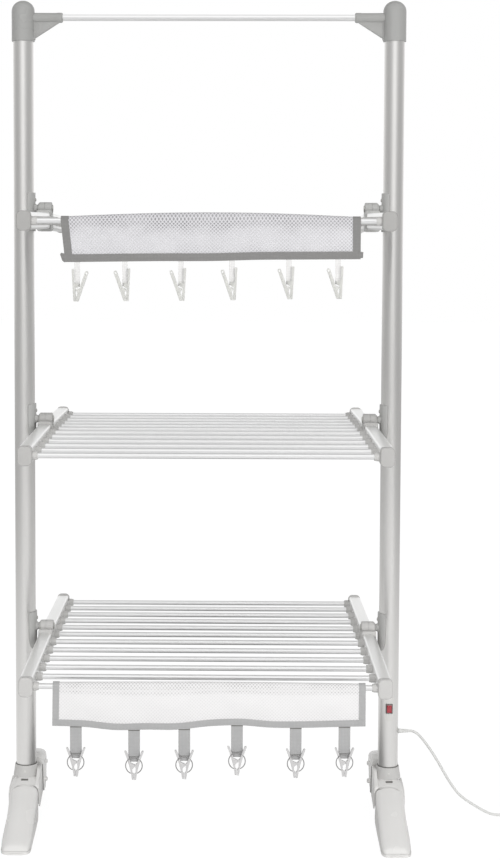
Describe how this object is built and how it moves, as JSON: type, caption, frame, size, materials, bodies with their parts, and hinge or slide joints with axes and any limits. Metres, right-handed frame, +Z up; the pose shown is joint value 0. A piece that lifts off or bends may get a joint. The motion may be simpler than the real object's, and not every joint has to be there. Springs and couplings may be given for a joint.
{
  "type": "heated clothes airer",
  "caption": "Free-standing folding drying rack: two posts on folding legs, three tiers of hinged heated bars, a hanging bar and two hanging mesh strips with clips",
  "frame": {"origin": "on the floor, midway between the two posts and between the front and rear ends of the wings", "axes": "X along the bars to the right as seen from the front, Y towards the back, Z up along the posts"},
  "size_m": [1.1187, 0.6911, 1.5595],
  "materials": {
    "drawn_aluminium": "satin drawn tube with soft streaks along it",
    "grey_plastic": "moulded, fine grain",
    "pale_gloss_plastic": "moulded, smooth and slightly glossy",
    "translucent_plastic": "milky translucent plastic",
    "peg_plastic": "moulded pale grey plastic with a steel ring spring",
    "white_mesh": "open white net with grey edge binding",
    "grey_mesh": "open white net with grey webbing edges and straps",
    "black_plastic": "dark smooth frame",
    "red_plastic": "translucent red rocker",
    "white_plastic": "smooth white sheath and moulding"
  },
  "bodies": {
    "frame": {"left_post": "drawn_aluminium", "right_post": "drawn_aluminium", "top_bar": "drawn_aluminium", "left_top_elbow": "grey_plastic", "right_top_elbow": "grey_plastic", "left_bottom_hinge_bracket": "grey_plastic", "right_bottom_hinge_bracket": "grey_plastic", "left_middle_hinge_bracket": "grey_plastic", "right_middle_hinge_bracket": "grey_plastic", "left_top_hinge_bracket": "grey_plastic", "right_top_hinge_bracket": "grey_plastic", "left_foot_body": "pale_gloss_plastic", "right_foot_body": "pale_gloss_plastic", "switch_housing": "black_plastic", "cord_gland": "white_plastic", "power_cord": "white_plastic", "cord_coil": "white_plastic", "plug_lead": "white_plastic", "mains_plug": "white_plastic"},
    "bottom_front_wing": {"bottom_front_wing": "drawn_aluminium"},
    "bottom_rear_wing": {"bottom_rear_wing": "drawn_aluminium"},
    "middle_front_wing": {"middle_front_wing": "drawn_aluminium"},
    "middle_rear_wing": {"middle_rear_wing": "drawn_aluminium"},
    "top_front_wing": {"top_front_wing": "drawn_aluminium"},
    "top_rear_wing": {"top_rear_wing": "drawn_aluminium"},
    "left_front_leg": {"left_front_leg": "pale_gloss_plastic"},
    "left_rear_leg": {"left_rear_leg": "pale_gloss_plastic"},
    "right_front_leg": {"right_front_leg": "pale_gloss_plastic"},
    "right_rear_leg": {"right_rear_leg": "pale_gloss_plastic"},
    "switch_rocker": {"switch_rocker": "red_plastic"},
    "top_strip": {"top_mesh_strip": "white_mesh", "top_clip_leg_1": "translucent_plastic", "top_clip_leg_2": "translucent_plastic", "top_clip_leg_3": "translucent_plastic", "top_clip_leg_4": "translucent_plastic", "top_clip_leg_5": "translucent_plastic", "top_clip_leg_6": "translucent_plastic"},
    "top_clip_arm_1": {"top_clip_arm_1": "translucent_plastic"},
    "top_clip_arm_2": {"top_clip_arm_2": "translucent_plastic"},
    "top_clip_arm_3": {"top_clip_arm_3": "translucent_plastic"},
    "top_clip_arm_4": {"top_clip_arm_4": "translucent_plastic"},
    "top_clip_arm_5": {"top_clip_arm_5": "translucent_plastic"},
    "top_clip_arm_6": {"top_clip_arm_6": "translucent_plastic"},
    "bottom_strip": {"bottom_mesh_strip": "grey_mesh", "bottom_peg_leg_1": "peg_plastic", "bottom_peg_leg_2": "peg_plastic", "bottom_peg_leg_3": "peg_plastic", "bottom_peg_leg_4": "peg_plastic", "bottom_peg_leg_5": "peg_plastic", "bottom_peg_leg_6": "peg_plastic"},
    "bottom_peg_arm_1": {"bottom_peg_arm_1": "peg_plastic"},
    "bottom_peg_arm_2": {"bottom_peg_arm_2": "peg_plastic"},
    "bottom_peg_arm_3": {"bottom_peg_arm_3": "peg_plastic"},
    "bottom_peg_arm_4": {"bottom_peg_arm_4": "peg_plastic"},
    "bottom_peg_arm_5": {"bottom_peg_arm_5": "peg_plastic"},
    "bottom_peg_arm_6": {"bottom_peg_arm_6": "peg_plastic"}
  },
  "joints": [
    {"name": "bottom_front_fold", "type": "hinge", "parent": "frame", "child": "bottom_front_wing", "pos_m": [0, 0, 0.379], "axis": [1, 0, 0], "range_deg": [-90, 0]},
    {"name": "bottom_rear_fold", "type": "hinge", "parent": "frame", "child": "bottom_rear_wing", "pos_m": [0, 0, 0.379], "axis": [1, 0, 0], "range_deg": [0, 90]},
    {"name": "middle_front_fold", "type": "hinge", "parent": "frame", "child": "middle_front_wing", "pos_m": [0, 0, 0.7763], "axis": [1, 0, 0], "range_deg": [-90, 0]},
    {"name": "middle_rear_fold", "type": "hinge", "parent": "frame", "child": "middle_rear_wing", "pos_m": [0, 0, 0.7763], "axis": [1, 0, 0], "range_deg": [0, 90]},
    {"name": "top_front_fold", "type": "hinge", "parent": "frame", "child": "top_front_wing", "pos_m": [0, 0, 1.1736], "axis": [1, 0, 0], "range_deg": [-90, 0]},
    {"name": "top_rear_fold", "type": "hinge", "parent": "frame", "child": "top_rear_wing", "pos_m": [0, 0, 1.1736], "axis": [1, 0, 0], "range_deg": [0, 90]},
    {"name": "left_front_leg_fold", "type": "hinge", "parent": "frame", "child": "left_front_leg", "pos_m": [-0.3465, -0.011, 0.06], "axis": [1, 0, 0], "range_deg": [0, 68]},
    {"name": "left_rear_leg_fold", "type": "hinge", "parent": "frame", "child": "left_rear_leg", "pos_m": [-0.3465, 0.011, 0.06], "axis": [1, 0, 0], "range_deg": [-68, 0]},
    {"name": "right_front_leg_fold", "type": "hinge", "parent": "frame", "child": "right_front_leg", "pos_m": [0.3465, -0.011, 0.06], "axis": [1, 0, 0], "range_deg": [0, 68]},
    {"name": "right_rear_leg_fold", "type": "hinge", "parent": "frame", "child": "right_rear_leg", "pos_m": [0.3465, 0.011, 0.06], "axis": [1, 0, 0], "range_deg": [-68, 0]},
    {"name": "switch_rock", "type": "hinge", "parent": "frame", "child": "switch_rocker", "pos_m": [0.3465, -0.0172, 0.227], "axis": [1, 0, 0], "range_deg": [-16, 0]},
    {"name": "top_strip_swing", "type": "hinge", "parent": "top_front_wing", "child": "top_strip", "pos_m": [0, -0.33187, 1.1462], "axis": [1, 0, 0], "range_deg": [0, 90]},
    {"name": "top_clip_arm_1_open", "type": "hinge", "parent": "top_strip", "child": "top_clip_arm_1", "pos_m": [-0.21689, -0.34287, 1.02967], "axis": [0, 1, 0], "range_deg": [-12, 0], "stiffness_Nm_per_rad": 0.008, "springref_deg": 60.16},
    {"name": "top_clip_arm_2_open", "type": "hinge", "parent": "top_strip", "child": "top_clip_arm_2", "pos_m": [-0.13657, -0.34287, 1.03062], "axis": [0, 1, 0], "range_deg": [0, 12], "stiffness_Nm_per_rad": 0.008, "springref_deg": -60.16},
    {"name": "top_clip_arm_3_open", "type": "hinge", "parent": "top_strip", "child": "top_clip_arm_3", "pos_m": [-0.0427, -0.34287, 1.03147], "axis": [0, 1, 0], "range_deg": [0, 12], "stiffness_Nm_per_rad": 0.008, "springref_deg": -60.16},
    {"name": "top_clip_arm_4_open", "type": "hinge", "parent": "top_strip", "child": "top_clip_arm_4", "pos_m": [0.04314, -0.34287, 1.03268], "axis": [0, 1, 0], "range_deg": [0, 12], "stiffness_Nm_per_rad": 0.008, "springref_deg": -60.16},
    {"name": "top_clip_arm_5_open", "type": "hinge", "parent": "top_strip", "child": "top_clip_arm_5", "pos_m": [0.13852, -0.34287, 1.03438], "axis": [0, 1, 0], "range_deg": [0, 12], "stiffness_Nm_per_rad": 0.008, "springref_deg": -60.16},
    {"name": "top_clip_arm_6_open", "type": "hinge", "parent": "top_strip", "child": "top_clip_arm_6", "pos_m": [0.22085, -0.34287, 1.03503], "axis": [0, 1, 0], "range_deg": [0, 12], "stiffness_Nm_per_rad": 0.008, "springref_deg": -60.16},
    {"name": "bottom_strip_swing", "type": "hinge", "parent": "bottom_front_wing", "child": "bottom_strip", "pos_m": [0, -0.33187, 0.3516], "axis": [1, 0, 0], "range_deg": [0, 90]},
    {"name": "bottom_peg_arm_1_open", "type": "hinge", "parent": "bottom_strip", "child": "bottom_peg_arm_1", "pos_m": [-0.22109, -0.34287, 0.22215], "axis": [0, 1, 0], "range_deg": [0, 12], "stiffness_Nm_per_rad": 0.008, "springref_deg": -60.16},
    {"name": "bottom_peg_arm_2_open", "type": "hinge", "parent": "bottom_strip", "child": "bottom_peg_arm_2", "pos_m": [-0.12142, -0.34287, 0.21726], "axis": [0, 1, 0], "range_deg": [0, 12], "stiffness_Nm_per_rad": 0.008, "springref_deg": -60.16},
    {"name": "bottom_peg_arm_3_open", "type": "hinge", "parent": "bottom_strip", "child": "bottom_peg_arm_3", "pos_m": [-0.03561, -0.34287, 0.21931], "axis": [0, 1, 0], "range_deg": [0, 12], "stiffness_Nm_per_rad": 0.008, "springref_deg": -60.16},
    {"name": "bottom_peg_arm_4_open", "type": "hinge", "parent": "bottom_strip", "child": "bottom_peg_arm_4", "pos_m": [0.05447, -0.34287, 0.22603], "axis": [0, 1, 0], "range_deg": [0, 12], "stiffness_Nm_per_rad": 0.008, "springref_deg": -60.16},
    {"name": "bottom_peg_arm_5_open", "type": "hinge", "parent": "bottom_strip", "child": "bottom_peg_arm_5", "pos_m": [0.15467, -0.34287, 0.22247], "axis": [0, 1, 0], "range_deg": [0, 12], "stiffness_Nm_per_rad": 0.008, "springref_deg": -60.16},
    {"name": "bottom_peg_arm_6_open", "type": "hinge", "parent": "bottom_strip", "child": "bottom_peg_arm_6", "pos_m": [0.23782, -0.34287, 0.22464], "axis": [0, 1, 0], "range_deg": [0, 12], "stiffness_Nm_per_rad": 0.008, "springref_deg": -60.16}
  ],
  "couplings": [
    {"joint": "top_strip_swing", "follows": "top_front_fold", "ratio": -1},
    {"joint": "bottom_strip_swing", "follows": "bottom_front_fold", "ratio": -1}
  ]
}
